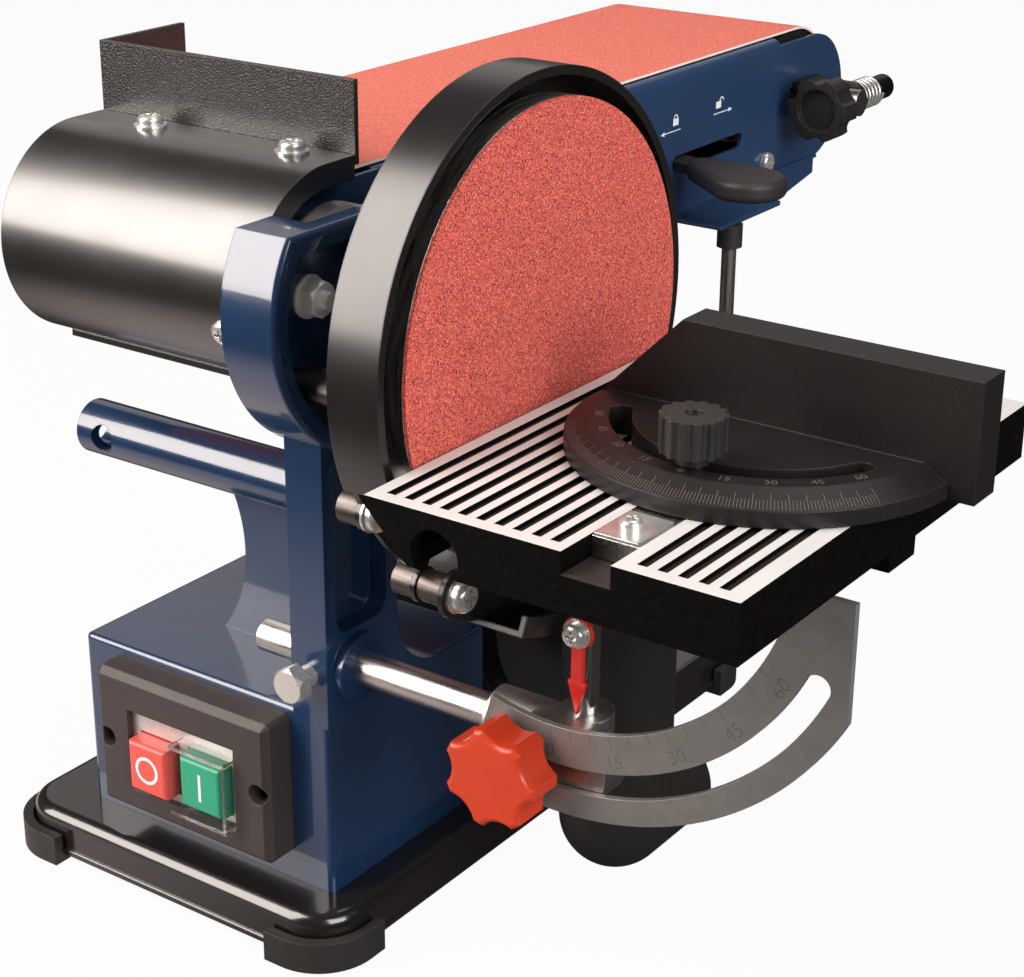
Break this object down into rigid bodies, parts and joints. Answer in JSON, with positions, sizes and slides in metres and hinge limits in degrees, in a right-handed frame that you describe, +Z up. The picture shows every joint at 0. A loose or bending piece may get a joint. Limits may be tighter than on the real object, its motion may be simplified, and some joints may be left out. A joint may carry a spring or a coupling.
{
  "type": "belt and disc sander",
  "caption": "Bench sander with a swinging belt arm over a blue cast stand, a guarded sanding disc, a tilting slotted table with a miter gauge, a dust hood and a push-button switch.",
  "frame": {"origin": "on the ground, under the middle of the whole machine's bounding box", "axes": "+X out of the sanding disc's face, +Y along the belt from the drive drum to the idler, +Z up"},
  "size_m": [0.3672, 0.5, 0.322],
  "materials": {
    "blue_casting": "gloss enamel",
    "blue_sheet": "satin enamel",
    "black_sheet": "satin enamel",
    "black_base": "gloss enamel",
    "black_motor": "painted",
    "black_plastic": "fine grain",
    "brown_black_plastic": "fine grain",
    "foot_rubber": "matte",
    "belt_rubber": "matte",
    "abrasive": "grit",
    "zinc_steel": "zinc plated",
    "ground_steel": "ground",
    "black_steel": "black oxide",
    "chrome_steel": "polished",
    "galvanised_plate": "galvanised",
    "cast_zinc": "as cast",
    "turned_alloy": "turned",
    "table_alloy": "black cast sides, milled top",
    "red_knob": "gloss",
    "red_paint": "gloss",
    "red_button": "gloss",
    "green_button": "gloss",
    "clear_plastic": "clear"
  },
  "bodies": {
    "frame": {"base_plate": "black_base", "feet": "foot_rubber", "base_fasteners": "zinc_steel", "frame_casting": "blue_casting", "rod_lock_bolt": "zinc_steel", "front_bearing": "ground_steel", "pivot_housing": "turned_alloy", "pivot_bolts": "zinc_steel", "motor_body": "black_motor", "drive_belt": "belt_rubber", "switch_box": "brown_black_plastic", "switch_shroud": "clear_plastic", "switch_screws": "zinc_steel", "guard": "black_plastic", "guard_spacers": "zinc_steel", "guard_screws": "zinc_steel", "dust_hood": "black_plastic", "rest_rod": "zinc_steel", "rest_cap": "foot_rubber"},
    "spindle": {"spindle": "ground_steel", "disc_plate": "turned_alloy", "sanding_disc": "abrasive", "drive_drum": "turned_alloy", "spindle_pulley": "turned_alloy"},
    "motor_rotor": {"motor_shaft": "ground_steel", "motor_pulley": "turned_alloy"},
    "belt_arm": {"arm_frame": "blue_sheet", "pivot_spigot": "turned_alloy", "rear_bearing": "ground_steel", "drum_cover": "black_sheet", "work_stop": "black_sheet", "arm_screws": "zinc_steel", "sanding_belt": "abrasive", "lever_pin": "ground_steel"},
    "idler_carriage": {"idler_carriage": "zinc_steel", "idler_axle": "ground_steel", "tracking_bracket": "black_plastic", "tracking_spring": "zinc_steel"},
    "idler_drum": {"idler_drum": "black_plastic"},
    "tracking": {"tracking_knob": "black_plastic", "tracking_screw": "black_steel"},
    "tension_lever": {"tension_lever": "brown_black_plastic"},
    "table_mount": {"support_bar": "chrome_steel", "mount_block": "cast_zinc", "table_post": "chrome_steel", "tilt_pointer": "red_paint", "pointer_screw": "zinc_steel"},
    "tilt_knob": {"tilt_knob": "red_knob"},
    "table": {"table": "table_alloy", "quadrant": "galvanised_plate", "quadrant_screws": "zinc_steel", "hinge_pin": "ground_steel"},
    "miter_bar": {"miter_bar": "ground_steel", "miter_cursor": "galvanised_plate", "cursor_screw": "zinc_steel"},
    "miter_head": {"miter_head": "brown_black_plastic"},
    "miter_knob": {"miter_knob": "black_plastic"},
    "stop_button": {"stop_button": "red_button"},
    "start_button": {"start_button": "green_button"}
  },
  "joints": [
    {"name": "spindle_spin", "type": "hinge", "parent": "frame", "child": "spindle", "pos_m": [-0.0634, -0.15297, 0.238], "axis": [1, 0, 0], "continuous": true},
    {"name": "motor_spin", "type": "hinge", "parent": "frame", "child": "motor_rotor", "pos_m": [-0.0634, -0.02497, 0.088], "axis": [1, 0, 0], "continuous": true},
    {"name": "arm_swing", "type": "hinge", "parent": "frame", "child": "belt_arm", "pos_m": [-0.0634, -0.15297, 0.238], "axis": [1, 0, 0], "range_deg": [0, 90]},
    {"name": "belt_tension", "type": "slide", "parent": "belt_arm", "child": "idler_carriage", "axis": [0, 1, 0], "range_m": [-0.008, 0]},
    {"name": "lever_swing", "type": "hinge", "parent": "belt_arm", "child": "tension_lever", "pos_m": [-0.1134, 0.11702, 0.228], "axis": [0, 0, 1], "range_deg": [0, 40]},
    {"name": "idler_spin", "type": "hinge", "parent": "idler_carriage", "child": "idler_drum", "pos_m": [-0.1214, 0.20872, 0.238], "axis": [1, 0, 0], "continuous": true},
    {"name": "tracking_turn", "type": "hinge", "parent": "idler_carriage", "child": "tracking", "pos_m": [-0.0454, 0.20872, 0.238], "axis": [0, 1, 0], "range_deg": [-180, 180]},
    {"name": "table_reach", "type": "slide", "parent": "frame", "child": "table_mount", "axis": [1, 0, 0], "range_m": [0, 0.02]},
    {"name": "table_tilt", "type": "hinge", "parent": "table_mount", "child": "table", "pos_m": [0.0631, -0.16847, 0.2065], "axis": [0, 1, 0], "range_deg": [0, 60]},
    {"name": "tilt_knob_turn", "type": "hinge", "parent": "table_mount", "child": "tilt_knob", "pos_m": [0.05074, -0.20297, 0.10581], "axis": [0, 1, 0], "range_deg": [-180, 180]},
    {"name": "miter_slide", "type": "slide", "parent": "table", "child": "miter_bar", "axis": [0, 1, 0], "range_m": [-0.035, 0.06]},
    {"name": "miter_swing", "type": "hinge", "parent": "miter_bar", "child": "miter_head", "pos_m": [0.1141, -0.15097, 0.218], "axis": [0, 0, 1], "range_deg": [-60, 60]},
    {"name": "miter_knob_turn", "type": "hinge", "parent": "miter_bar", "child": "miter_knob", "pos_m": [0.1141, -0.19497, 0.233], "axis": [0, 0, 1], "range_deg": [-180, 180]},
    {"name": "stop_press", "type": "slide", "parent": "frame", "child": "stop_button", "axis": [0, 1, 0], "range_m": [0, 0.003], "stiffness_N_per_m": 600, "springref_m": -0.002},
    {"name": "start_press", "type": "slide", "parent": "frame", "child": "start_button", "axis": [0, 1, 0], "range_m": [0, 0.003], "stiffness_N_per_m": 600, "springref_m": -0.002}
  ],
  "couplings": [
    {"joint": "motor_spin", "follows": "spindle_spin", "ratio": 1},
    {"joint": "idler_spin", "follows": "spindle_spin", "ratio": 1},
    {"joint": "lever_swing", "follows": "belt_tension", "rad_per_m": -87.2}
  ]
}
